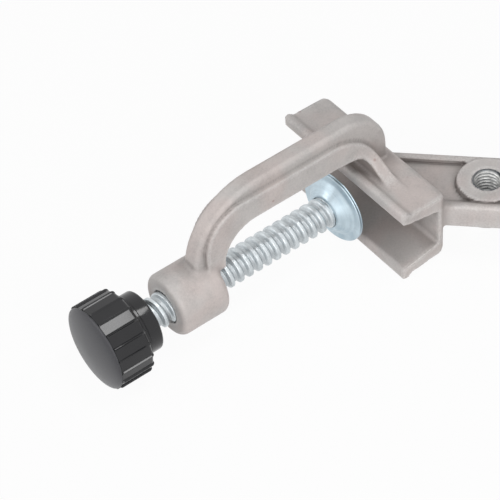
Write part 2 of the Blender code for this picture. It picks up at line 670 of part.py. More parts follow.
def build_side(side, parts, tools, looks):
    """Everything that one screw carries."""
    name = "left" if side < 0 else "right"
    place = side_frame(side)
    along = place @ AXIS_ALONG_SCREW
    tilt = Matrix.Translation((SWIVEL_AT, 0, 0)) @ Matrix.Rotation(-side * PAD_TILT, 4, "Z")
    tilted = place @ tilt @ Matrix.Translation((-SWIVEL_AT, 0, 0)) @ AXIS_ALONG_SCREW
    spindle = add_object(f"{name}_spindle", spindle_mesh(looks["steel"]), parts, place)
    smooth(spindle)
    bore_radius = TAIL_RADIUS + GAP
    pieces = [
        turned(f"{name}_pad_face", pad_face_profile(), PAD_SIDES, parts, tilted, looks["zinc"]),
        turned(f"{name}_pad_cup", cup_profile(), PAD_SIDES, parts, tilted, looks["zinc"]),
        turned(f"{name}_pad_ring", ring_profile(), SMALL_SIDES, parts, along, looks["steel"]),
        turned(f"{name}_knob_cap", cap_profile(), ROUND_SIDES, parts, along, looks["satin_black"]),
        turned(f"{name}_knob_washer", [
            (WASHER_RADIUS, WASHER_AT), (WASHER_RADIUS, WASHER_AT - WASHER_THICKNESS),
            (bore_radius, WASHER_AT - WASHER_THICKNESS), (bore_radius, WASHER_AT),
        ], SMALL_SIDES, parts, along, looks["steel"]),
    ]
    knob = build_knob(f"{name}_knob", parts, tools, along, looks["gloss_black"])
    nut = extruded(f"{name}_knob_nut", nut_outline(), NUT_AT - NUT_THICKNESS, NUT_AT, parts, along)
    nut.data.materials.append(looks["steel"])
    nut_bore = turned(f"{name}_nut_bore",
                      cylinder_profile(bore_radius, NUT_AT - NUT_THICKNESS - OVERRUN, NUT_AT + OVERRUN),
                      SMALL_SIDES, tools, along)
    boolean(nut, nut_bore, "DIFFERENCE")
    return [spindle, knob, nut] + pieces


def centre_on_base(pieces, origin):
    """Move the clamp so that the world's origin is the centre of its base."""
    bpy.context.view_layer.update()
    graph = bpy.context.evaluated_depsgraph_get()
    corners = []
    for item in pieces:
        shown = item.evaluated_get(graph)
        mesh = shown.to_mesh()
        corners += [shown.matrix_world @ vertex.co for vertex in mesh.vertices]
        shown.to_mesh_clear()
    low = Vector([min(point[axis] for point in corners) for axis in range(3)])
    high = Vector([max(point[axis] for point in corners) for axis in range(3)])
    middle = (low + high) / 2
    origin.location = (-middle.x, -middle.y, -low.z)
    bpy.context.view_layer.update()
    print("origin moved by", tuple(round(value, 6) for value in origin.location))


def main():
    """Build the clamp."""
    clear_scene()
    parts = new_collection(CLAMP_NAME)
    tools = new_collection("shaping_tools")
    looks = {
        "cast": material("cast_aluminium", (0.47, 0.44, 0.42), 0.55, 0.9),
        "zinc": material("zinc_plate", (0.56, 0.63, 0.68), 0.25, 1.0),
        "steel": material("bright_steel", (0.60, 0.62, 0.64), 0.25, 1.0),
        "gloss_black": material("gloss_black_plastic", (0.02, 0.02, 0.022), 0.15, 0.0),
        "satin_black": material("satin_black_plastic", (0.06, 0.06, 0.065), 0.5, 0.0),
    }
    pieces = [build_frame(parts, tools, looks["cast"])]
    for side in (-1, 1):
        pieces += build_side(side, parts, tools, looks)
    origin = bpy.data.objects.new(f"{CLAMP_NAME}_origin", None)
    parts.objects.link(origin)
    for item in list(parts.objects) + list(tools.objects):
        if item is not origin:
            item.parent = origin
    centre_on_base(pieces, origin)


main()
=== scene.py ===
"""Corner clamp in fine detail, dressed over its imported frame.

The casting is one smooth surface worked out from distances to its parts, so that every part flows
into the next with a cast fillet. Screws, pads, knobs and caps are turned or threaded grids.
Shapes are worked out in millimetres. Each screw has its own frame: s runs along the screw towards
the jaw and is zero at the jaw's lips, a runs along the jaw, and h is up from the screw's axis.
"""

import json
import math

import bpy
import numpy as np
from mathutils import Matrix, Vector


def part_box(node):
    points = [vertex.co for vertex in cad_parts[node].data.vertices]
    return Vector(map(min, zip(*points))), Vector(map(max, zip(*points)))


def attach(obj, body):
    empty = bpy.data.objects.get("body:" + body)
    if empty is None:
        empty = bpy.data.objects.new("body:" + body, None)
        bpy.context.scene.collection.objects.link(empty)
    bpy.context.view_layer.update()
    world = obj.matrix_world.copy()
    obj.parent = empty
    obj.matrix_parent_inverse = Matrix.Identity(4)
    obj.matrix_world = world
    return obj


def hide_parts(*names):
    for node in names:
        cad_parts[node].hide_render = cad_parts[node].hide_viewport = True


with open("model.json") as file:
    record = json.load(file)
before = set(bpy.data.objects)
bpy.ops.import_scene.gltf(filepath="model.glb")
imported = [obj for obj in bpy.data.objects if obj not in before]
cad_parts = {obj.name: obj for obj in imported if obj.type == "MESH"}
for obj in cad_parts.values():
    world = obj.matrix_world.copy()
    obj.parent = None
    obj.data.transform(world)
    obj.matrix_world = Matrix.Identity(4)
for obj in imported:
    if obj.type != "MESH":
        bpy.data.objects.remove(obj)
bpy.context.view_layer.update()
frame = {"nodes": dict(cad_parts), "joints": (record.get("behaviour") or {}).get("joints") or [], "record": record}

bl_info = {
    "name": "Corner Clamp",
    "version": (1, 0, 0),
    "blender": (4, 5, 0),
    "location": "View3D > Sidebar > Clamp",
    "description": "Builds a cast corner clamp's surfaces and finishes over its frame",
    "category": "Add Mesh",
}

MM = 0.001
FAR = 10.0  # distance given outside a part's own region, more than any fillet or shade reaches
JOINTS = {joint["name"]: joint for joint in frame["joints"]}
MOUNTS = {mount["name"]: mount for mount in frame["record"]["mounts"]}
LIP_POINT = np.array(JOINTS["left_turn"]["pos_m"]) / MM
HOLE_Y = MOUNTS["centre_boss_top"]["pos_m"][1] / MM
DIAGONAL = math.sqrt(0.5)

# jaw channel
JAW_DEPTH = 20.0
JAW_OUTER_REACH = 34.2
JAW_INNER_REACH = 31.7
LIP_HALF_HEIGHT = 16.0
LIP_LAND = 2.2
LIP_MOUTH_HALF_HEIGHT = 11.0
RIDGE_FOOT = 4.0
FLANGE_FRONT_HALF_HEIGHT = 14.4
FLANGE_BACK_HALF_HEIGHT = 13.0
JAW_TOP_BACK_HEIGHT = 14.0
CHANNEL_BACK_HALF_HEIGHT = 7.9
WEB_THICKNESS = 3.8
JAW_CORNER = 4.0
JAW_EDGE = 0.5

# arm over the board
ARM_TOP = 37.7
ARM_INNER_HEIGHT = 22.8
ARM_LEDGE_HEIGHT = 33.0
ARM_FOOT = 12.9
ARM_ROOT = 7.7
RIB_HALF_WIDTH = 3.5
FLANGE_HALF_WIDTH = 5.0
ARM_SCREW_FRONT = 67.5
ARM_SCREW_ROUND = 28.0
ARM_SCREW_THICKNESS = 12.1
ARM_SCREW_INNER_ROUND = 13.7
ARM_JAW_BACK = 16.5
ARM_JAW_ROUND = 17.5
ARM_JAW_THICKNESS = 10.5
ARM_JAW_INNER_ROUND = 6.0
RIB_EDGE = 1.7
FLANGE_SET_BACK = 4.5
FLANGE_SCREW_ROUND = 17.0
FLANGE_JAW_SET_BACK = 5.1
FLANGE_JAW_ROUND = 20.0
FLANGE_EDGE = 0.8
LEDGE_FILLET = 0.6
FLARE_REACH = 21.0
FLARE_HEIGHT = 13.0
FLARE_SINK = 0.6
FLARE_STARTS_AT = -8.0
FLARE_FULL_AT = 2.0

# boss that guides the screw
SCREW_BOSS_RADIUS = 11.7
SCREW_BOSS_LENGTH = 19.6
SCREW_BOSS_TO_LIP = 59.0
SCREW_BOSS_EDGE = 2.4
SCREW_BORE_RADIUS = 6.3

# bridge and its centre boss
BRIDGE_TOP = 8.2
BRIDGE_BOTTOM = -2.0
BRIDGE_FRONT = 14.1
BRIDGE_REAR = 11.8
REAR_RIM_WIDTH = 3.0
FRONT_RIM_WIDTH = 5.0
BRIDGE_EDGE = 1.1
BRIDGE_TOP_DROP = 0.3
POCKET_DEPTH = 2.0
POCKET_CORNER = 2.5
POCKET_CUTTER_HALF = 10.0
CENTRE_BOSS_RADIUS = 10.9
CENTRE_BOSS_PROUD = 3.2
CENTRE_BOSS_EDGE = 0.35
CENTRE_THREAD_RADIUS = 5.0
CENTRE_THREAD_PITCH = 1.5
CENTRE_THREAD_DEPTH = 0.85

# fillets where the casting's parts meet, and the edges of its holes
ARM_TO_BOSS_FILLET = 1.7
BRIDGE_TO_JAW_FILLET = 1.4
ARM_TO_JAW_FILLET = 1.0
HOLE_EDGE = 0.3

# spindle
THREAD_RADIUS = 6.0
THREAD_DEPTH = 1.3
THREAD_PITCH = 4.0
THREAD_RUNOUT = 1.0
NECK_RADIUS = 3.0
NOSE_RADIUS = 4.0
TAIL_RADIUS = 4.0
TAIL_CHAMFER = 0.6

# pressure pad
PAD_FACE_AT = -4.3
PAD_TILT = math.radians(5)
PAD_RADIUS = 14.1
PAD_SHEET = 0.7
PAD_HEIGHT = 5.5
CUP_BASE_RADIUS = 11.2
CUP_HUB_RADIUS = 7.6
CUP_HOLE_RADIUS = 6.15

# knob
KNOB_RADIUS = 16.0
KNOB_FACETS = 20
KNOB_FACET_DEPTH = 0.5
KNOB_RIDGE_HALF_WIDTH = 0.2
KNOB_TURN = 0.17  # how far the photo's knob is turned, in facets
KNOB_GRIP_LENGTH = 13.0
GRIP_BACK_EDGE = 1.3
COLLAR_RADIUS = 11.2
COLLAR_LENGTH = 7.0
COLLAR_EDGE = 0.9
COLLAR_RING = 1.1
RECESS_RADIUS = 9.5
RECESS_DEPTH = 8.5
CAP_HEIGHT = 3.6
CAP_RADIUS = 15.4
CAP_POWER = 1.7
CAP_WALL = 1.3
CAP_RIM = 0.35
SPIGOT_LENGTH = 4.0
SPIGOT_WALL = 1.1

# places along the screw
GAP = 0.3
PAD_PLATE_INSIDE_AT = PAD_FACE_AT - PAD_SHEET
SWIVEL_AT = PAD_PLATE_INSIDE_AT - GAP - NOSE_RADIUS
CUP_BACK_AT = PAD_FACE_AT - PAD_HEIGHT
SHOULDER_AT = CUP_BACK_AT + 0.4
COLLAR_AT = -87.1
THREAD_END_AT = COLLAR_AT + GAP
THREAD_LENGTH = SHOULDER_AT - THREAD_END_AT
GRIP_AT = COLLAR_AT - COLLAR_LENGTH
GRIP_FRONT_AT = GRIP_AT - KNOB_GRIP_LENGTH
TAIL_END_AT = -106.2

# the photo's camera, fitted to it; angles in degrees
PHOTO_WIDTH_PIXELS = 500.0
FOCAL_PIXELS = 2300.0
CAMERA_TURN = 10.91
CAMERA_TILT = 46.73
CAMERA_ROLL = -4.49
CAMERA_DISTANCE = 795.34
CAMERA_AIM = (-79.68, -32.74)  # x, and y from the centre hole, at the screws' height


def linear(hex_colour):
    """A linear colour from an sRGB hex value such as "b5b0a9"."""
    channels = np.array([int(hex_colour[i:i + 2], 16) for i in (0, 2, 4)]) / 255
    low, high = channels / 12.92, ((channels + 0.055) / 1.055) ** 2.4
    return (*np.where(channels <= 0.04045, low, high), 1.0)


def side_frame(side):
    """Origin and axes, in rows, of one screw's frame: along the screw, along the jaw and up."""
    joint = JOINTS[f"{side}_turn"]
    along = np.array(joint["axis"]) / np.linalg.norm(joint["axis"])
    up = np.array((0.0, 0.0, 1.0))
    return np.array(joint["pos_m"]) / MM, np.stack([along, np.cross(up, along), up])


def rounded(corners, steps):
    """A closed outline whose corners (x, y, radius) are arcs, turned about each corner's centre."""
    points = []
    for index, (x, y, radius) in enumerate(corners):
        corner = Vector((x, y))
        before = (Vector(corners[index - 1][:2]) - corner).normalized()
        after = (Vector(corners[(index + 1) % len(corners)][:2]) - corner).normalized()
        half = before.angle(after) / 2
        centre = corner + (before + after).normalized() * (radius / math.sin(half))
        start = corner + before * (radius / math.tan(half)) - centre
        end = corner + after * (radius / math.tan(half)) - centre
        first = math.atan2(start.y, start.x)
        angles = -start.angle_signed(end) * np.linspace(0, 1, steps + 1) + first
        circle = np.stack([np.cos(angles), np.sin(angles)], axis=1)
        points.extend(np.array(centre) + radius * circle)
    return np.array(points)


def arc(centre, radius, first, last, steps=12):
    """Points on a circle at equal steps between two angles in degrees."""
    angles = np.radians(np.linspace(first, last, steps + 1))
    return np.stack([centre[0] + radius * np.cos(angles),
                     centre[1] + radius * np.sin(angles)], axis=1)


def outline_distance(outline, x, y):
    """Distance to the nearest edge of a closed outline.

    It is negative inside, where a ray to one side crosses the outline an odd number of times.
    """
    nearest = np.full(x.shape, np.inf)
    inside = np.zeros(x.shape, bool)
    for (ax, ay), (bx, by) in zip(outline, np.roll(outline, -1, axis=0)):
        edge_x, edge_y, from_x, from_y = bx - ax, by - ay, x - ax, y - ay
        share = np.clip((from_x * edge_x + from_y * edge_y) / (edge_x ** 2 + edge_y ** 2), 0, 1)
        square = (from_x - edge_x * share) ** 2 + (from_y - edge_y * share) ** 2
        nearest = np.minimum(nearest, square)
        if edge_y != 0:
            inside ^= ((ay > y) != (by > y)) & (from_x < edge_x * from_y / edge_y)
    return np.sqrt(nearest) * np.where(inside, -1, 1)


def overlap(first, second, edge):
    """What two shapes share, with a rounded edge.

    The edge's radius is added to both distances. The greater one counts where neither is above
    zero, and elsewhere the root of the sum of their positive parts' squares. Then it comes off.
    """
    first, second = first + edge, second + edge
    return (np.minimum(np.maximum(first, second), 0)
            + np.hypot(np.maximum(first, 0), np.maximum(second, 0)) - edge)


def thick(flat, across, half, edge):
    """An outline given thickness, with rounded edges."""
    return overlap(flat, np.abs(across) - half, edge)


def smooth_step(value, low, high):
    """A share that rises from 0 at low to 1 at high, three squares less two cubes."""
    share = np.clip((value - low) / (high - low), 0, 1)
    return share * share * (3 - 2 * share)


def joined(first, second, fillet):
    """The lesser of two distances, less a parabola where they differ by less than the fillet."""
    share = np.clip(0.5 + 0.5 * (second - first) / fillet, 0, 1)
    return second + (first - second) * share - fillet * share * (1 - share)


def cut(first, second, fillet):
    """The first shape without the second, with a softened edge."""
    return -joined(-first, second, fillet)


def where(mask, distance, *coordinates):
    """A shape's distance inside a mask, and a far value outside it."""
    found = np.full(mask.shape, FAR)
    found[mask] = distance(*(values[mask] for values in coordinates))
    return found


def jaw_distance(s, a, h):
    """The channel's section carried along the jaw, with rounded plan corners."""
    lip = [(0, LIP_MOUTH_HALF_HEIGHT, 1.8), (0, LIP_HALF_HEIGHT, 1.0),
           (LIP_LAND, LIP_HALF_HEIGHT, 0.7), (RIDGE_FOOT, FLANGE_FRONT_HALF_HEIGHT, 0.8)]
    upper = lip + [(JAW_DEPTH, JAW_TOP_BACK_HEIGHT, 2.8)]
    lower = [(JAW_DEPTH, -FLANGE_BACK_HALF_HEIGHT, 4.2)]
    lower += [(x, -y, radius) for x, y, radius in reversed(lip)]
    back = JAW_DEPTH - WEB_THICKNESS
    inside = [(back, -CHANNEL_BACK_HALF_HEIGHT, 1.8), (back, CHANNEL_BACK_HALF_HEIGHT, 1.8)]
    section = outline_distance(rounded(upper + lower + inside, 5), s, h)
    middle = (JAW_OUTER_REACH - JAW_INNER_REACH) / 2
    bar = thick(section, a - middle, (JAW_OUTER_REACH + JAW_INNER_REACH) / 2, JAW_EDGE)
    plan = outline_distance(rounded([
        (-0.6, -JAW_INNER_REACH, 1.8), (JAW_DEPTH, -JAW_INNER_REACH, JAW_CORNER),
        (JAW_DEPTH, JAW_OUTER_REACH, JAW_CORNER), (-0.6, JAW_OUTER_REACH, 1.8),
    ], 6), s, a)
    return cut(bar, -plan, 0.3)


def arm_outline(front, screw_round, back, jaw_round, top):
    """Side view of the arm: an outer line of two arcs down to the arm's common inner line."""
    inner_front = -ARM_SCREW_FRONT + ARM_SCREW_THICKNESS
    inner_back = ARM_JAW_BACK - ARM_JAW_THICKNESS
    return np.concatenate([
        [(front, ARM_ROOT)],
        arc((front + screw_round, top - screw_round), screw_round, 180, 90),
        arc((back - jaw_round, top - jaw_round), jaw_round, 90, 0),
        [(back, ARM_FOOT), (inner_back, ARM_FOOT)],
        arc((inner_back - ARM_JAW_INNER_ROUND, ARM_INNER_HEIGHT - ARM_JAW_INNER_ROUND),
            ARM_JAW_INNER_ROUND, 0, 90),
        arc((inner_front + ARM_SCREW_INNER_ROUND, ARM_INNER_HEIGHT - ARM_SCREW_INNER_ROUND),
            ARM_SCREW_INNER_ROUND, 90, 180),
        [(inner_front, ARM_ROOT)],
    ])


def arm_distance(s, a, h):
    """A tall narrow rib on a wider flange.

    Past the bend the flange spreads along the jaw, as wide at each height as a quarter ellipse.
    """
    rib_outline = arm_outline(
        -ARM_SCREW_FRONT, ARM_SCREW_ROUND, ARM_JAW_BACK, ARM_JAW_ROUND, ARM_TOP)
    rib = thick(outline_distance(rib_outline, s, h), a, RIB_HALF_WIDTH, RIB_EDGE)
    flange_outline = arm_outline(
        -ARM_SCREW_FRONT + FLANGE_SET_BACK, FLANGE_SCREW_ROUND,
        ARM_JAW_BACK - FLANGE_JAW_SET_BACK, FLANGE_JAW_ROUND, ARM_LEDGE_HEIGHT)
    turn = np.radians(np.linspace(0, 90, 13))
    reach = FLARE_REACH - (FLARE_REACH - FLANGE_HALF_WIDTH) * np.sin(turn)
    height = FLANGE_FRONT_HALF_HEIGHT - FLARE_SINK + FLARE_HEIGHT * (1 - np.cos(turn))
    right = np.concatenate([[(FLARE_REACH, FLANGE_FRONT_HALF_HEIGHT - 2.0)],
                            np.stack([reach, height], axis=1), [(FLANGE_HALF_WIDTH, ARM_TOP + 5)]])
    spread = outline_distance(np.concatenate([right, right[::-1] * (-1, 1)]), a, h)
    straight = np.abs(a) - FLANGE_HALF_WIDTH
    width = straight + (spread - straight) * smooth_step(s, FLARE_STARTS_AT, FLARE_FULL_AT)
    flange = overlap(outline_distance(flange_outline, s, h), width, FLANGE_EDGE)
    return joined(rib, flange, LEDGE_FILLET)


def drum(radial, along, radius, low, high, edge):
    """A cylinder between two places, with rounded ends."""
    return thick(radial - radius, along - (low + high) / 2, (high - low) / 2, edge)


def bridge_plan(rear, front, inset):
    """The bridge's trapezium in plan, as far as a line inside the jaws' webs."""
    web_x = LIP_POINT[0] + (JAW_DEPTH - inset) * DIAGONAL
    web_y = LIP_POINT[1] - HOLE_Y + (JAW_DEPTH - inset) * DIAGONAL
    rear_x, front_x = web_x - (rear - web_y), web_x + (web_y + front)
    return [(rear_x, rear), (-rear_x, rear), (-front_x, -front), (front_x, -front)]


def bridge_distance(x, y, h):
    """A slab with two sunk pockets, above and below, round a turned boss."""
    top = BRIDGE_TOP - BRIDGE_TOP_DROP
    plan = np.array(bridge_plan(BRIDGE_REAR, BRIDGE_FRONT, WEB_THICKNESS / 2))
    slab = thick(outline_distance(plan, x, y), h - (top + BRIDGE_BOTTOM) / 2,
                 (top - BRIDGE_BOTTOM) / 2, BRIDGE_EDGE)
    rear, front = BRIDGE_REAR - REAR_RIM_WIDTH, BRIDGE_FRONT - FRONT_RIM_WIDTH
    pocket = outline_distance(np.array(bridge_plan(rear, front, -1)), x, y)
    radial = np.hypot(x, y)
    pocket = cut(pocket, radial - CENTRE_BOSS_RADIUS, POCKET_CORNER)
    soft = 0.4 + 3.6 * np.clip((-y - front / 2) / (front / 2), 0, 1)
    for level, outwards in ((top, 1), (BRIDGE_BOTTOM, -1)):
        middle = outwards * (POCKET_CUTTER_HALF - POCKET_DEPTH)
        slab = cut(slab, thick(pocket, h - level - middle, POCKET_CUTTER_HALF, 0.3), soft)
    boss = drum(radial, h, CENTRE_BOSS_RADIUS, BRIDGE_BOTTOM - CENTRE_BOSS_PROUD, BRIDGE_TOP,
                CENTRE_BOSS_EDGE)
    return joined(slab, boss, 0.3)


def left_side(points):
    """Places in the left screw's frame (s, a, h); the right half is mirrored onto the left."""
    from_x, from_y = -np.abs(points[..., 0]) - LIP_POINT[0], points[..., 1] - LIP_POINT[1]
    h = points[..., 2] - LIP_POINT[2]
    return (from_x + from_y) * DIAGONAL, (from_y - from_x) * DIAGONAL, h


def boss_distance(radial, s):
    """The drum at the arm's end that guides the screw."""
    return drum(radial, s, SCREW_BOSS_RADIUS, -SCREW_BOSS_TO_LIP - SCREW_BOSS_LENGTH,
                -SCREW_BOSS_TO_LIP, SCREW_BOSS_EDGE)


def casting_distance(points):
    """Distance to the whole casting, whose right half mirrors its left.

    Each part's distance is worked out only in a region a few millimetres wider than the part.
    """
    x, y = -np.abs(points[..., 0]), points[..., 1] - HOLE_Y
    s, a, h = left_side(points)
    near_jaw = (np.abs(s - 10) < 14) & (np.abs(a) < 38) & (np.abs(h) < 20)
    near_arm = (s > -72) & (s < 21) & (np.abs(a) < 24) & (h > 4) & (h < 42)
    near_bridge = (y > -19) & (y < 17) & (np.abs(h - 3) < 11) & (x > -54)
    radial = np.hypot(a, h)
    near_boss = (radial < 16) & (s < -54) & (s > -84)
    jaw = where(near_jaw, jaw_distance, s, a, h)
    arm = where(near_arm, arm_distance, s, a, h)
    bridge = where(near_bridge, bridge_distance, x, y, h)
    boss = where(near_boss, boss_distance, radial, s)
    whole = joined(joined(jaw, bridge, BRIDGE_TO_JAW_FILLET), joined(arm, boss, ARM_TO_BOSS_FILLET),
                   ARM_TO_JAW_FILLET)
    bore = np.where(near_boss, radial - SCREW_BORE_RADIUS, FAR)
    hole = np.hypot(x, y) - CENTRE_THREAD_RADIUS - 0.3
    return cut(cut(whole, bore, HOLE_EDGE), hole, HOLE_EDGE)


def painted_shade_and_highlight(points, normals):
    """Painted shade and painted edge highlight for each point, both from 0 to 1.

    Shade is painted where a place some way out along its normal is nearer to other metal than
    to the point, as in hollows and corners. Inside the channel more shade is painted, the more
    the further from the jaw's ends and the less the face looks up. A highlight is painted on an
    edge where a place straight below it is less deep than the step down.
    """
    # painted shade from how near other metal lies, at three reaches out along the normal
    near, middle, far = (1 - np.clip(casting_distance(points + normals * reach) / reach, 0, 1)
                         for reach in (1.0, 3.0, 8.0))
    s, a, h = left_side(points)
    # painted shade inside the channel, deeper away from the jaw's ends and on faces that look less up
    channel = (np.abs(h) < LIP_MOUTH_HALF_HEIGHT + 0.2) & (s > -0.5)
    channel &= s < JAW_DEPTH - WEB_THICKNESS + 0.3
    painted_channel_shade = channel * smooth_step(np.abs(a), JAW_OUTER_REACH - 2, JAW_OUTER_REACH - 20)
    painted_channel_shade *= 0.75 - 0.45 * np.clip(normals[:, 2], 0, 1)
    painted_shade = np.clip(np.maximum(near * 1.4, middle * 0.6), 0, 1)
    painted_shade = np.maximum(painted_shade, np.maximum(far * 0.6, painted_channel_shade))
    # painted highlight on convex edges, taken off where painted shade is near
    step = 1.5
    edge = (1 + casting_distance(points - normals * step) / step) * 3.4
    return painted_shade, np.clip(edge - 4 * np.maximum(near, middle), 0, 1)


def surface_net(field, low, cell):
    """Vertices and quads of a field's zero level on a grid.

    Each cell that the surface crosses gets a vertex at the mean of its edges' crossings, and each
    grid edge that it crosses gets a quad through the four cells round it.
    """
    shape = np.array(field.shape) - 1
    total, count = np.zeros((*shape, 3)), np.zeros(shape)
    crossings = []
    for axis in range(3):
        others = [other for other in range(3) if other != axis]
        start = np.take(field, range(shape[axis]), axis)
        end = np.take(field, range(1, shape[axis] + 1), axis)
        crosses = (start < 0) != (end < 0)
        share = np.where(crosses, start / np.where(crosses, start - end, 1), 0)
        crossings.append((axis, others, crosses, start < 0))
        for first in (0, 1):
            for second in (0, 1):
                window = [slice(None)] * 3
                window[others[0]] = slice(first, first + shape[others[0]])
                window[others[1]] = slice(second, second + shape[others[1]])
                hit = crosses[tuple(window)]
                total[..., axis] += share[tuple(window)]
                total[..., others[0]] += hit * first
                total[..., others[1]] += hit * second
                count += hit
    used = count > 0
    index = np.full(count.shape, -1)
    index[used] = np.arange(used.sum())
    vertices = low + cell * (np.argwhere(used) + total[used] / count[used][:, None])
    quads = []
    for axis, others, crosses, starts_inside in crossings:
        at = np.argwhere(crosses)
        keep = (at[:, others[0]] > 0) & (at[:, others[1]] > 0)
        keep &= (at[:, others[0]] < shape[others[0]]) & (at[:, others[1]] < shape[others[1]])
        at = at[keep]
        outward = starts_inside[tuple(at.T)] == (axis != 1)
        ring = []
        for first, second in ((1, 1), (0, 1), (0, 0), (1, 0)):
            cell_at = at.copy()
            cell_at[:, others[0]] -= first
            cell_at[:, others[1]] -= second
            ring.append(index[tuple(cell_at.T)])
        ring = np.stack(ring, axis=1)
        quads.append(np.where(outward[:, None], ring, ring[:, ::-1]))
    return vertices, np.concatenate(quads)


def slope(points, distance, step=0.05):
    """The direction in which a distance grows: its differences along each axis."""
    rises = [distance(points + offset) - distance(points - offset) for offset in np.eye(3) * step]
    return np.stack(rises, axis=1) / (2 * step)


def settled(points, distance, rounds=3):
    """Points moved onto a surface: each steps back along the slope of its distance.

    The step is the distance times the slope, over the slope's square.
    """
    for _ in range(rounds):
        way = slope(points, distance)
        length = np.maximum((way ** 2).sum(axis=1), 0.1)
        points = points - way * (distance(points) / length)[:, None]
    return points


def linked(name, data):
    """A new object in the scene, with its mesh, lamp or camera."""
    made = bpy.data.objects.new(name, data)
    bpy.context.scene.collection.objects.link(made)
    return made


def mesh_object(name, vertices, faces, look, sharp_degrees=None):
    """A smooth-shaded object from vertices in millimetres and rows of face corners."""
    mesh = bpy.data.meshes.new(name)
    mesh.from_pydata(np.asarray(vertices) * MM, [], faces)
    mesh.validate()
    mesh.shade_smooth()
    if sharp_degrees is not None:
        mesh.set_sharp_from_angle(angle=math.radians(sharp_degrees))
    mesh.materials.append(look)
    return linked(name, mesh)


def keep_numbers(made, name, values):
    """Keep a number or a place in metres for each point of a piece, for its finish to read."""
    kind, field = ("FLOAT", "value") if values.ndim == 1 else ("FLOAT_VECTOR", "vector")
    made.data.attributes.new(name, kind, "POINT").data.foreach_set(field, values.ravel())


def wrapped(rows, columns, closed):
    """Quads of a grid wrapped round its columns, and round its rows too if it is closed."""
    row = np.arange(rows if closed else rows - 1)[:, None]
    column = np.arange(columns)[None, :]
    next_row, next_column = (row + 1) % rows, (column + 1) % columns
    corners = (row * columns + column, row * columns + next_column,
               next_row * columns + next_column, next_row * columns + column)
    corners = [np.broadcast_to(corner, (len(row), columns)) for corner in corners]
    return np.stack(corners, axis=-1).reshape(-1, 4)


def lathe(name, side, s, radius, look, columns=96, closed=True, sharp_degrees=40, tilt=0.0):
    """A ring of points at each place s and radius; radius may vary round the ring.

    Angle runs from the jaw's direction up and round by the right hand about the screw. A tilt turns
    the piece about the upright line through the swivel. Each point keeps its place beside the screw
    as an attribute, so that a finish can follow the turning.
    """
    angle = np.arange(columns) * math.tau / columns
    radius = np.broadcast_to(np.asarray(radius, float).reshape(len(s), -1), (len(s), columns))
    local = np.stack([np.broadcast_to(np.asarray(s)[:, None], radius.shape),
                      radius * np.cos(angle), radius * np.sin(angle)], axis=-1).reshape(-1, 3)
    faces = wrapped(len(s), columns, closed).tolist()
    if not closed:
        ends = (np.arange(columns)[::-1], np.arange(columns) + (len(s) - 1) * columns)
        for end, pole in zip(ends, (len(local), len(local) + 1)):
            faces += np.stack([end, np.roll(end, -1), np.full(columns, pole)], axis=1).tolist()
        local = np.concatenate([local, [(s[0], 0, 0), (s[-1], 0, 0)]])
    cosine, sine = math.cos(tilt), math.sin(tilt)
    turn = np.array([[cosine, sine, 0], [-sine, cosine, 0], [0, 0, 1]])
    pivot = np.array((SWIVEL_AT, 0, 0))
    origin, axes = side_frame(side)
    places = origin + ((local - pivot) @ turn + pivot) @ axes
    made = mesh_object(name, places, faces, look, sharp_degrees)
    keep_numbers(made, "beside_axis", local * MM)
    return made


def add_node(tree, kind, inputs=None, **settings):
    """A node with its settings; each input takes a value or another node's output."""
    made = tree.nodes.new(kind)
    for name, value in settings.items():
        setattr(made, name, value)
    for name, value in (inputs or {}).items():
        if isinstance(value, bpy.types.NodeSocket):
            tree.links.new(value, made.inputs[name])
        else:
            made.inputs[name].default_value = value
    return made


def new_material(name, roughness, metallic):
    """An empty material: its tree, its shader and a texture's object coordinates."""
    made = bpy.data.materials.new(name)
    made.use_nodes = True
    tree = made.node_tree
    shader = tree.nodes["Principled BSDF"]
    shader.inputs["Roughness"].default_value = roughness
    shader.inputs["Metallic"].default_value = metallic
    place = add_node(tree, "ShaderNodeTexCoord").outputs["Object"]
    return made, tree, shader, place


def tint(base, share):
    """A linear colour lightened or darkened by a share."""
    return tuple(channel * share for channel in base[:3]) + (1,)


def ramp(tree, value, *stops):
    """A colour ramp through (position, colour) stops."""
    made = add_node(tree, "ShaderNodeValToRGB", {"Fac": value})
    elements = made.color_ramp.elements
    while len(elements) < len(stops):
        elements.new(1.0)
    for element, (position, colour) in zip(elements, stops):
        element.position = position
        element.color = colour
    return made.outputs["Color"]


def noise(tree, place, size_mm, detail, roughness=0.5):
    """Soft noise whose largest marks are about as wide as the size."""
    made = add_node(tree, "ShaderNodeTexNoise", {
        "Vector": place, "Scale": 1 / (size_mm * MM), "Detail": detail, "Roughness": roughness})
    return made.outputs["Fac"]


def weighted(tree, value, factor, addend=0.0):
    """A value times a factor, plus another value."""
    inputs = {0: value, 1: factor, 2: addend}
    return add_node(tree, "ShaderNodeMath", inputs, operation="MULTIPLY_ADD").outputs["Value"]


def combined(tree, first, second, operation):
    """Two values put together by one operation."""
    made = add_node(tree, "ShaderNodeMath", {0: first, 1: second}, operation=operation)
    return made.outputs["Value"]


def remapped(tree, value, low, high, at_low, at_high, interpolation="LINEAR"):
    """A value's range laid onto another range and held at its ends."""
    made = add_node(tree, "ShaderNodeMapRange", {
        "Value": value, "From Min": low, "From Max": high, "To Min": at_low, "To Max": at_high,
    }, interpolation_type=interpolation)
    return made.outputs["Result"]


def painted(tree, skin, share, colour, blend="MIX"):
    """One colour laid over another by a share."""
    made = add_node(tree, "ShaderNodeMix", {"Factor": share, "A": skin, "B": colour},
                    data_type="RGBA", blend_type=blend)
    return made.outputs["Result"]


def kept(tree, name, output):
    """A number or a place that the piece keeps for its finish."""
    return add_node(tree, "ShaderNodeAttribute", attribute_name=name).outputs[output]


def finished(tree, shader, skin, height, strength, depth_mm):
    """The skin's colour and its bumps put on the shader."""
    tree.links.new(skin, shader.inputs["Base Color"])
    bump = add_node(tree, "ShaderNodeBump", {
        "Height": height, "Strength": strength, "Distance": depth_mm * MM})
    tree.links.new(bump.outputs["Normal"], shader.inputs["Normal"])


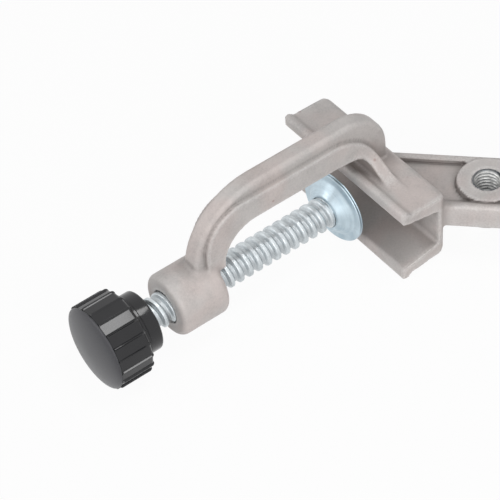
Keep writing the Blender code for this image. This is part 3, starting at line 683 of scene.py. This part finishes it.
def blasted_casting(colour):
    """Die-cast aluminium, bead-blasted: matt warm grey, peppered by the blast, with flow marks.

    The real pits are about 0.1 mm wide; they are drawn 0.4 mm wide, so that they show. Shade is
    painted darker into hollows and the channels, and a highlight is painted along the convex
    edges, speckled by the pits. Small reddish spots are stains.
    """
    made, tree, shader, place = new_material("blasted_die_cast_aluminium", 0.55, 0.1)
    base = linear(colour)
    cloud = noise(tree, place, 9, 3.0, 0.55)
    pits = noise(tree, place, 0.8, 3.0, 0.8)
    tone = weighted(tree, pits, 0.5, weighted(tree, cloud, 0.5))
    skin = ramp(tree, tone, (0.32, tint(base, 0.82)), (0.5, base), (0.68, tint(base, 1.12)))
    warm, cool = (1.0, 0.965, 0.955, 1), (0.97, 0.99, 0.99, 1)
    hue = ramp(tree, noise(tree, place, 16, 2.0), (0.4, warm), (0.6, cool))
    skin = painted(tree, skin, 1.0, hue, "MULTIPLY")
    stains = add_node(tree, "ShaderNodeTexVoronoi", {"Vector": place, "Scale": 1 / (11 * MM),
                                                     "Randomness": 1.0})
    stain = remapped(tree, stains.outputs["Distance"], 0.03, 0.06, 0.45, 0.0)
    # painted shade: the points' painted shade darkens the skin towards 5f5855
    painted_shade_share = combined(tree, kept(tree, "painted_shade", "Fac"), 0.9, "MULTIPLY")
    # painted highlight: the edges' painted light, speckled by the pits, lightens the skin towards f4f2f0
    highlight_speckle = remapped(tree, pits, 0.4, 0.7, 0.12, 0.4)
    bright = combined(tree, kept(tree, "edge", "Fac"), highlight_speckle, "MULTIPLY")
    for share, hex_colour in ((stain, "94655c"), (painted_shade_share, "5f5855"), (bright, "f4f2f0")):
        skin = painted(tree, skin, share, linear(hex_colour))
    finished(tree, shader, skin, weighted(tree, cloud, 5.0, pits), 0.3, 0.06)
    return made


def zinc_plate(name, colour, shade, roughness, scratch_mm, patch_mm, root=None, turned=True):
    """Bright metal, zinc-plated or freshly cut: fine scratches round the screw and duller patches.

    Shade is painted into a thread's root, unevenly in patches: root gives the radius in
    millimetres of the darkest place, that of the unshaded crest, and the share of painted shade.
    """
    made, tree, shader, place = new_material(name, roughness, 1.0)
    if turned:
        place = kept(tree, "beside_axis", "Vector")
    fine = 1 / (scratch_mm * MM)
    stretched = add_node(tree, "ShaderNodeMapping", {
        "Vector": place, "Scale": (fine, fine / 16, fine / 16)}).outputs["Vector"]
    scratches = noise(tree, stretched, 1 / MM, 4.0, 0.75)
    patches = noise(tree, place, patch_mm, 4.0, 0.6)
    mixed = weighted(tree, patches, 0.55, weighted(tree, scratches, 0.45))
    bright = linear(colour)
    skin = ramp(tree, mixed, (0.37, linear(shade)), (0.48, tint(bright, 0.9)), (0.58, bright))
    if root is not None:
        # painted shade in the thread's root, darkening towards 5d6064
        across = add_node(tree, "ShaderNodeMapping", {"Vector": place, "Scale": (0, 1, 1)})
        radius = add_node(tree, "ShaderNodeVectorMath", {0: across.outputs["Vector"]},
                          operation="LENGTH").outputs["Value"]
        root_shade = remapped(tree, radius, root[0] * MM, root[1] * MM, root[2], 0.0, "SMOOTHSTEP")
        skin = painted(tree, skin, combined(tree, root_shade, patches, "MULTIPLY"), linear("5d6064"))
    dull = remapped(tree, mixed, 0.35, 0.65, roughness * 1.4, roughness * 0.75)
    tree.links.new(dull, shader.inputs["Roughness"])
    finished(tree, shader, skin, mixed, 0.3, 0.06)
    return made


def moulded_plastic(name, colour, roughness, grain_mm, strength, sheen=0.0):
    """Injection-moulded black plastic; the grain that its tool left makes it glossy or satin.

    A satin grain looks paler where one sees it at a low angle.
    """
    made, tree, shader, place = new_material(name, roughness, 0.0)
    shader.inputs["Sheen Weight"].default_value = sheen
    shader.inputs["Sheen Roughness"].default_value = 0.4
    grain = noise(tree, place, grain_mm, 2.0)
    base = linear(colour)
    skin = ramp(tree, grain, (0.3, tint(base, 0.88)), (0.7, tint(base, 1.12)))
    finished(tree, shader, skin, grain, strength, 0.04)
    return made


LOOKS = {}


def look(name, settings):
    """A finish by name, made on first use."""
    makers = {
        "casting": lambda: blasted_casting(settings.casting_colour),
        # the spindle and the tapped hole get painted shade in their threads' roots
        "spindle": lambda: zinc_plate(
            "bright_zinc_rolled_thread", settings.spindle_colour, "c0c5c8", 0.46, 0.2, 2.2,
            (4.75, 5.6, 0.4)),
        "pad": lambda: zinc_plate(
            "blue_zinc_pressed_sheet", settings.pad_colour, "afc1cb", 0.42, 0.9, 6.0),
        "fastener": lambda: zinc_plate(
            "bright_zinc_fastener", settings.spindle_colour, "a4a9ad", 0.3, 0.4, 2.0, turned=False),
        "tapped": lambda: zinc_plate(
            "cut_aluminium_thread", settings.tapped_colour, "9a9a98", 0.42, 0.3, 2.0,
            (5.05, 4.4, 1.8)),
        "grip": lambda: moulded_plastic("gloss_black_grip", settings.grip_colour, 0.14, 4.0, 0.12),
        "cap": lambda: moulded_plastic(
            "satin_black_cap", settings.cap_colour, 0.45, 0.5, 0.25, sheen=0.35),
    }
    if name not in LOOKS:
        LOOKS[name] = makers[name]()
    return LOOKS[name]


def thread_height(turns):
    """Share of a coarse rounded thread's depth: a cosine pushed through a smooth step."""
    return smooth_step(np.cos(math.tau * turns), -0.75, 0.75)


class ClampSettings(bpy.types.PropertyGroup):
    """Colours and fineness of the clamp."""

    casting_cell: bpy.props.FloatProperty(
        name="Casting cell", description="Grid cell of the casting's surface", default=0.74 * MM,
        min=0.4 * MM, unit="LENGTH")
    casting_colour: bpy.props.StringProperty(
        name="Casting", description="sRGB hex colour of the casting", default="d1cac7")
    spindle_colour: bpy.props.StringProperty(
        name="Spindle", description="sRGB hex colour of the screws", default="d4dadd")
    pad_colour: bpy.props.StringProperty(
        name="Pad", description="sRGB hex colour of the pressure pads", default="c3d3dc")
    tapped_colour: bpy.props.StringProperty(
        name="Tapped hole", description="sRGB hex colour of the cut thread", default="cfcfcd")
    grip_colour: bpy.props.StringProperty(
        name="Knob", description="sRGB hex colour of the knob's grip", default="1b1b1e")
    cap_colour: bpy.props.StringProperty(
        name="Cap", description="sRGB hex colour of the knob's cap", default="3c3c40")


class CLAMP_OT_casting(bpy.types.Operator):
    """Build the casting: jaws, arms, screw bosses and bridge in one surface"""

    bl_idname = "clamp.casting"
    bl_label = "Casting"

    def execute(self, context):
        settings = context.scene.clamp
        cell = settings.casting_cell / MM
        low, high = (np.array(corner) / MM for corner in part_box("frame_casting"))
        margin = 2 * cell
        half_count = math.ceil((high[0] + margin) / cell)
        axes = [(np.arange(-half_count, half_count) + 0.5) * cell]
        axes += [np.arange(low[i] - margin, high[i] + margin, cell) for i in (1, 2)]
        left = np.stack(np.meshgrid(axes[0][:half_count], axes[1], axes[2], indexing="ij"), axis=-1)
        field = casting_distance(left)
        field = np.concatenate([field, field[::-1]], axis=0)
        vertices, quads = surface_net(field, np.array([axis[0] for axis in axes]), cell)
        vertices = settled(vertices, casting_distance)
        made = mesh_object("frame_casting_surface", vertices, quads.tolist(),
                           look("casting", settings))
        normals = slope(vertices, casting_distance)
        normals /= np.linalg.norm(normals, axis=1)[:, None]
        made.data.normals_split_custom_set_from_vertices(normals.tolist())
        # painted shade and painted edge highlight, kept on the points for the casting's finish
        painted_shade, edge = painted_shade_and_highlight(vertices, normals)
        keep_numbers(made, "painted_shade", painted_shade)
        keep_numbers(made, "edge", edge)
        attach(made, "frame")
        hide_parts("frame_casting")
        return {"FINISHED"}


class CLAMP_OT_centre_thread(bpy.types.Operator):
    """Cut the bright thread in the centre boss"""

    bl_idname = "clamp.centre_thread"
    bl_label = "Centre thread"

    def execute(self, context):
        columns, rows_per_turn = 64, 12
        low, high = BRIDGE_BOTTOM - CENTRE_BOSS_PROUD + 0.1, BRIDGE_TOP - 0.1
        rows = int((high - low) / CENTRE_THREAD_PITCH * rows_per_turn)
        height = np.linspace(low, high, rows)
        angle = np.arange(columns) * math.tau / columns
        turns = height[:, None] / CENTRE_THREAD_PITCH - angle[None, :] / math.tau
        ridge = 1 - np.abs((turns % 1) * 2 - 1)
        mouth = np.clip(np.minimum(height - low, high - height)[:, None] / 0.9, 0, 1)
        inner = CENTRE_THREAD_RADIUS + 0.1 - CENTRE_THREAD_DEPTH * ridge * mouth
        outer = np.full((2, columns), CENTRE_THREAD_RADIUS + 0.45)
        radius = np.concatenate([inner, outer])
        level = np.concatenate([height, [high, low]])
        z = np.broadcast_to(level[:, None] + LIP_POINT[2], radius.shape)
        local = np.stack([z, radius * np.cos(angle), radius * np.sin(angle)], axis=-1)
        local = local.reshape(-1, 3)
        faces = wrapped(len(level), columns, True)[:, ::-1].tolist()
        made = mesh_object("centre_hole_thread", local[:, (1, 2, 0)] + (0, HOLE_Y, 0), faces,
                           look("tapped", context.scene.clamp), 40)
        keep_numbers(made, "beside_axis", local * MM)
        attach(made, "frame")
        return {"FINISHED"}


class CLAMP_OT_spindles(bpy.types.Operator):
    """Build both spindles: nose, neck, coarse rolled thread and tail"""

    bl_idname = "clamp.spindles"
    bl_label = "Spindles"

    def execute(self, context):
        columns = 72
        angle = np.arange(columns) * math.tau / columns
        nose_end = math.degrees(math.asin(NECK_RADIUS / NOSE_RADIUS))
        nose = arc((SWIVEL_AT, 0), NOSE_RADIUS, 3, nose_end, 10)
        neck = [(nose[-1, 0] - 0.2, NECK_RADIUS), (SHOULDER_AT + 0.01, NECK_RADIUS)]
        rows = int(THREAD_LENGTH / THREAD_PITCH * 24)
        along = np.linspace(SHOULDER_AT, THREAD_END_AT, rows)
        ridge = smooth_step(along, THREAD_END_AT, THREAD_END_AT + THREAD_RUNOUT)[:, None]
        groove = smooth_step(-along, -SHOULDER_AT, THREAD_RUNOUT - SHOULDER_AT)[:, None]
        turns = along[:, None] / THREAD_PITCH - angle[None, :] / math.tau
        thread = THREAD_RADIUS - THREAD_DEPTH * (1 - thread_height(turns) * ridge) * groove
        tail = [(THREAD_END_AT, TAIL_RADIUS), (TAIL_END_AT + TAIL_CHAMFER, TAIL_RADIUS),
                (TAIL_END_AT, TAIL_RADIUS - TAIL_CHAMFER)]
        before, after = np.concatenate([nose, neck]), np.array(tail)
        s = np.concatenate([before[:, 0], along, after[:, 0]])
        radius = np.concatenate([np.repeat(before[:, 1:], columns, axis=1), thread,
                                 np.repeat(after[:, 1:], columns, axis=1)])
        for side in ("left", "right"):
            made = lathe(f"{side}_spindle_thread", side, s, radius,
                         look("spindle", context.scene.clamp), columns, closed=False,
                         sharp_degrees=50)
            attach(made, f"{side}_screw")
            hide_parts(f"{side}_spindle")
        return {"FINISHED"}


class CLAMP_OT_pads(bpy.types.Operator):
    """Build both pressure pads: a flat face plate and a cup with a flat rim, a cone and a hub"""

    bl_idname = "clamp.pads"
    bl_label = "Pressure pads"

    def execute(self, context):
        half = PAD_SHEET / 2
        face = np.concatenate([
            [(PAD_FACE_AT, 0.01)],
            arc((PAD_FACE_AT - half, PAD_RADIUS - half), half, 0, 180, 10),
            [(PAD_PLATE_INSIDE_AT, 0.01)],
        ])
        front = PAD_PLATE_INSIDE_AT - 0.15
        back = front - PAD_SHEET
        cup = np.concatenate([
            [(front, CUP_BASE_RADIUS - 0.4)],
            arc((front - half, PAD_RADIUS - half), half, 0, 180, 10),
            [(back, CUP_BASE_RADIUS + 0.9), (back - 0.06, CUP_BASE_RADIUS + 0.35),
             (back - 0.3, CUP_BASE_RADIUS - 0.05), (back - 1.1, CUP_BASE_RADIUS - 1.0),
             (back - 1.9, CUP_BASE_RADIUS - 1.85)],
            arc((CUP_BACK_AT + 1.0, CUP_HUB_RADIUS - 0.8), 1.0, 130, 180, 6),
            [(CUP_BACK_AT, CUP_HOLE_RADIUS), (CUP_BACK_AT + PAD_SHEET, CUP_HOLE_RADIUS),
             (CUP_BACK_AT + PAD_SHEET, CUP_HUB_RADIUS - PAD_SHEET)],
        ])
        pressings = (("pad_plate", face, "pad_face"), ("pad_cup_pressing", cup, "pad_cup"))
        for side, tilt in (("left", PAD_TILT), ("right", -PAD_TILT)):
            for name, profile, node in pressings:
                made = lathe(f"{side}_{name}", side, profile[:, 0], profile[:, 1],
                             look("pad", context.scene.clamp), tilt=tilt)
                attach(made, f"{side}_pad")
                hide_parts(f"{side}_{node}")
        return {"FINISHED"}


class CLAMP_OT_knobs(bpy.types.Operator):
    """Build both knobs: flat facets between thin ridges, a smooth collar and the nut's recess"""

    bl_idname = "clamp.knobs"
    bl_label = "Knobs"

    def execute(self, context):
        per_facet = 20
        columns = KNOB_FACETS * per_facet
        within_facet = ((np.arange(columns) + KNOB_TURN * per_facet) % per_facet) / per_facet - 0.5
        facet_angle = within_facet * math.tau / KNOB_FACETS
        inscribed = (KNOB_RADIUS - KNOB_FACET_DEPTH) * math.cos(math.pi / KNOB_FACETS)
        to_ridge = (0.5 - np.abs(within_facet)) * math.tau / KNOB_FACETS * KNOB_RADIUS
        fall = np.clip((to_ridge - KNOB_RIDGE_HALF_WIDTH) * 2.5, 0, 1)
        ridged = np.maximum(inscribed / np.cos(facet_angle), KNOB_RADIUS - fall)
        rows = []
        for behind, below in ((0, 0.3), (0.15, 0.1), (0.5, 0)):
            rows.append((GRIP_FRONT_AT + behind, np.minimum(ridged, KNOB_RADIUS - below)))
        for s, radius in arc((GRIP_AT - GRIP_BACK_EDGE, -GRIP_BACK_EDGE), GRIP_BACK_EDGE, 90, 0, 6):
            rows.append((s, ridged + radius))
        ring, bore = COLLAR_RADIUS + COLLAR_RING, TAIL_RADIUS + GAP
        floor = GRIP_FRONT_AT + RECESS_DEPTH
        collar_end = arc((COLLAR_AT - COLLAR_EDGE, COLLAR_RADIUS - COLLAR_EDGE),
                         COLLAR_EDGE, 90, 0, 6)
        for s, radius in (
            (GRIP_AT, ring + 0.5), (GRIP_AT + 0.15, ring), (GRIP_AT + 1.5, ring),
            (GRIP_AT + 1.9, ring - 0.4), (GRIP_AT + 2.1, COLLAR_RADIUS), *collar_end,
            (COLLAR_AT, bore + 0.4), (COLLAR_AT - 0.4, bore), (floor, bore),
            (floor, RECESS_RADIUS), (GRIP_FRONT_AT, RECESS_RADIUS),
        ):
            rows.append((s, np.full(columns, radius)))
        s = np.array([row[0] for row in rows])
        radius = np.stack([row[1] for row in rows])
        for side in ("left", "right"):
            made = lathe(f"{side}_knob_grip", side, s, radius, look("grip", context.scene.clamp),
                         columns, sharp_degrees=32)
            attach(made, f"{side}_screw")
            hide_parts(f"{side}_knob")
        return {"FINISHED"}


class CLAMP_OT_caps(bpy.types.Operator):
    """Build both knob caps: a satin dome flatter than a ball and a ring pressed into the knob"""

    bl_idname = "clamp.caps"
    bl_label = "Knob caps"

    def execute(self, context):
        seat = GRIP_FRONT_AT - 0.05
        spigot = RECESS_RADIUS - GAP
        turn = np.radians(np.linspace(0.2, 90, 28))
        across, rise = np.sin(turn) ** (2 / CAP_POWER), np.abs(np.cos(turn)) ** (2 / CAP_POWER)
        dome = np.stack([GRIP_FRONT_AT - CAP_RIM - (CAP_HEIGHT - CAP_RIM) * rise,
                         CAP_RADIUS * across], axis=1)
        inside = GRIP_FRONT_AT - CAP_HEIGHT + CAP_WALL
        profile = np.concatenate([
            [(inside, 0.01)], dome,
            [(seat - 0.15, CAP_RADIUS - 0.02), (seat, CAP_RADIUS - 0.12), (seat, spigot),
             (seat + SPIGOT_LENGTH, spigot), (seat + SPIGOT_LENGTH, spigot - SPIGOT_WALL),
             (inside + 0.5, spigot - SPIGOT_WALL)],
        ])[::-1]
        for side in ("left", "right"):
            made = lathe(f"{side}_knob_dome", side, profile[:, 0], profile[:, 1],
                         look("cap", context.scene.clamp))
            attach(made, f"{side}_screw")
            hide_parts(f"{side}_knob_cap")
        return {"FINISHED"}


class CLAMP_OT_small_parts(bpy.types.Operator):
    """Give the nuts, washers and rings their plated finish"""

    bl_idname = "clamp.small_parts"
    bl_label = "Small parts"

    def execute(self, context):
        for side in ("left", "right"):
            for part in ("knob_nut", "knob_washer", "pad_ring"):
                mesh = frame["nodes"][f"{side}_{part}"].data
                mesh.materials.clear()
                mesh.materials.append(look("fastener", context.scene.clamp))
        return {"FINISHED"}


class CLAMP_OT_stage(bpy.types.Operator):
    """Set the floor, the lights and the camera at the photograph's angle"""

    bl_idname = "clamp.stage"
    bl_label = "Stage"

    def execute(self, context):
        scene = context.scene
        scene.view_settings.view_transform = "Standard"
        self.floor()
        self.world(scene)
        for name, place, size, power in (
            ("right_front_light", (0.65, -0.95, 0.57), 0.6, 3.9),
            ("left_front_light", (-0.95, -0.5, 0.62), 0.7, 3.2),
            ("front_panel", (-0.1, -1.3, 0.6), 1.6, 6.0),
            ("overhead_softbox", (0.2, 0.08, 0.98), 0.34, 2.3),
        ):
            lamp = bpy.data.lights.new(name, "AREA")
            lamp.size = size
            lamp.energy = power
            made = linked(name, lamp)
            made.location = place
            aim = Vector((0, 0, 0.02)) - Vector(place)
            made.rotation_euler = aim.to_track_quat("-Z", "Y").to_euler()
        scene.camera = self.camera()
        return {"FINISHED"}

    @staticmethod
    def seen(tree):
        """1 for rays from the camera and for mirrored ones, which both find plain white."""
        ray = add_node(tree, "ShaderNodeLightPath").outputs
        return combined(tree, ray["Is Camera Ray"], ray["Is Glossy Ray"], "MAXIMUM")

    def floor(self):
        """A white sheet, nearly all of its own light where seen, which still takes the shadow."""
        reach = 3.0
        corners = [(x * reach, y * reach, 0) for x, y in ((-1, -1), (1, -1), (1, 1), (-1, 1))]
        mesh = bpy.data.meshes.new("floor")
        mesh.from_pydata(corners, [], [(0, 1, 2, 3)])
        paper = bpy.data.materials.new("white_paper_floor")
        paper.use_nodes = True
        tree = paper.node_tree
        tree.nodes.remove(tree.nodes["Principled BSDF"])
        factor = combined(tree, self.seen(tree), 0.95, "MULTIPLY")
        matt = add_node(tree, "ShaderNodeBsdfDiffuse", {"Color": linear("f4f4f4")})
        white = add_node(tree, "ShaderNodeEmission", {"Color": (1, 1, 1, 1), "Strength": 1.0})
        mix = add_node(tree, "ShaderNodeMixShader", {
            0: factor, 1: matt.outputs["BSDF"], 2: white.outputs["Emission"]})
        tree.links.new(mix.outputs["Shader"], tree.nodes["Material Output"].inputs["Surface"])
        mesh.materials.append(paper)
        linked("floor", mesh)

    def world(self, scene):
        """Faint daylight on the clamp, and white where the camera looks past it."""
        scene.world = bpy.data.worlds.new("studio")
        scene.world.use_nodes = True
        tree = scene.world.node_tree
        soft = tree.nodes["Background"]
        soft.inputs["Color"].default_value = linear("f2f4f6")
        soft.inputs["Strength"].default_value = 0.2
        white = add_node(tree, "ShaderNodeBackground", {"Color": (1, 1, 1, 1), "Strength": 1.0})
        mix = add_node(tree, "ShaderNodeMixShader", {
            0: self.seen(tree), 1: soft.outputs["Background"], 2: white.outputs["Background"]})
        tree.links.new(mix.outputs["Shader"], tree.nodes["World Output"].inputs["Surface"])

    @staticmethod
    def camera():
        """The photo's camera, set back from its aim beside the left arm and rolled a little."""
        camera = bpy.data.cameras.new("photo_camera")
        camera.sensor_width = 36.0
        camera.lens = FOCAL_PIXELS / PHOTO_WIDTH_PIXELS * camera.sensor_width
        camera.clip_start = 0.01
        turn, tilt = math.radians(CAMERA_TURN), math.radians(CAMERA_TILT)
        roll = math.radians(CAMERA_ROLL)
        back = Vector((math.sin(turn) * math.cos(tilt), -math.cos(turn) * math.cos(tilt),
                       math.sin(tilt)))
        level = Vector((0, 0, 1)).cross(back).normalized()
        rise = back.cross(level)
        right = math.cos(roll) * level + math.sin(roll) * rise
        up = math.cos(roll) * rise - math.sin(roll) * level
        target = Vector((CAMERA_AIM[0], HOLE_Y + CAMERA_AIM[1], LIP_POINT[2])) * MM
        place = Matrix.Translation(target + back * CAMERA_DISTANCE * MM)
        made = linked("photo_camera", camera)
        made.matrix_world = place @ Matrix((right, up, back)).transposed().to_4x4()
        return made


class CLAMP_PT_panel(bpy.types.Panel):
    """The clamp's settings and pieces"""

    bl_label = "Corner clamp"
    bl_idname = "CLAMP_PT_panel"
    bl_space_type = "VIEW_3D"
    bl_region_type = "UI"
    bl_category = "Clamp"

    def draw(self, context):
        for name in ClampSettings.__annotations__:
            self.layout.prop(context.scene.clamp, name)
        for operator in OPERATORS:
            self.layout.operator(operator.bl_idname)


OPERATORS = (CLAMP_OT_casting, CLAMP_OT_centre_thread, CLAMP_OT_spindles, CLAMP_OT_pads,
             CLAMP_OT_knobs, CLAMP_OT_caps, CLAMP_OT_small_parts, CLAMP_OT_stage)


def register():
    """Register the classes and the scene's settings."""
    for item in (ClampSettings, *OPERATORS, CLAMP_PT_panel):
        bpy.utils.register_class(item)
    bpy.types.Scene.clamp = bpy.props.PointerProperty(type=ClampSettings)


def unregister():
    """Take the settings and the classes away again."""
    del bpy.types.Scene.clamp
    for item in (CLAMP_PT_panel, *reversed(OPERATORS), ClampSettings):
        bpy.utils.unregister_class(item)


def main():
    """Build every piece."""
    register()
    bpy.ops.clamp.casting()
    bpy.ops.clamp.centre_thread()
    bpy.ops.clamp.spindles()
    bpy.ops.clamp.pads()
    bpy.ops.clamp.knobs()
    bpy.ops.clamp.caps()
    bpy.ops.clamp.small_parts()
    bpy.ops.clamp.stage()


if __name__ == "__main__":
    main()
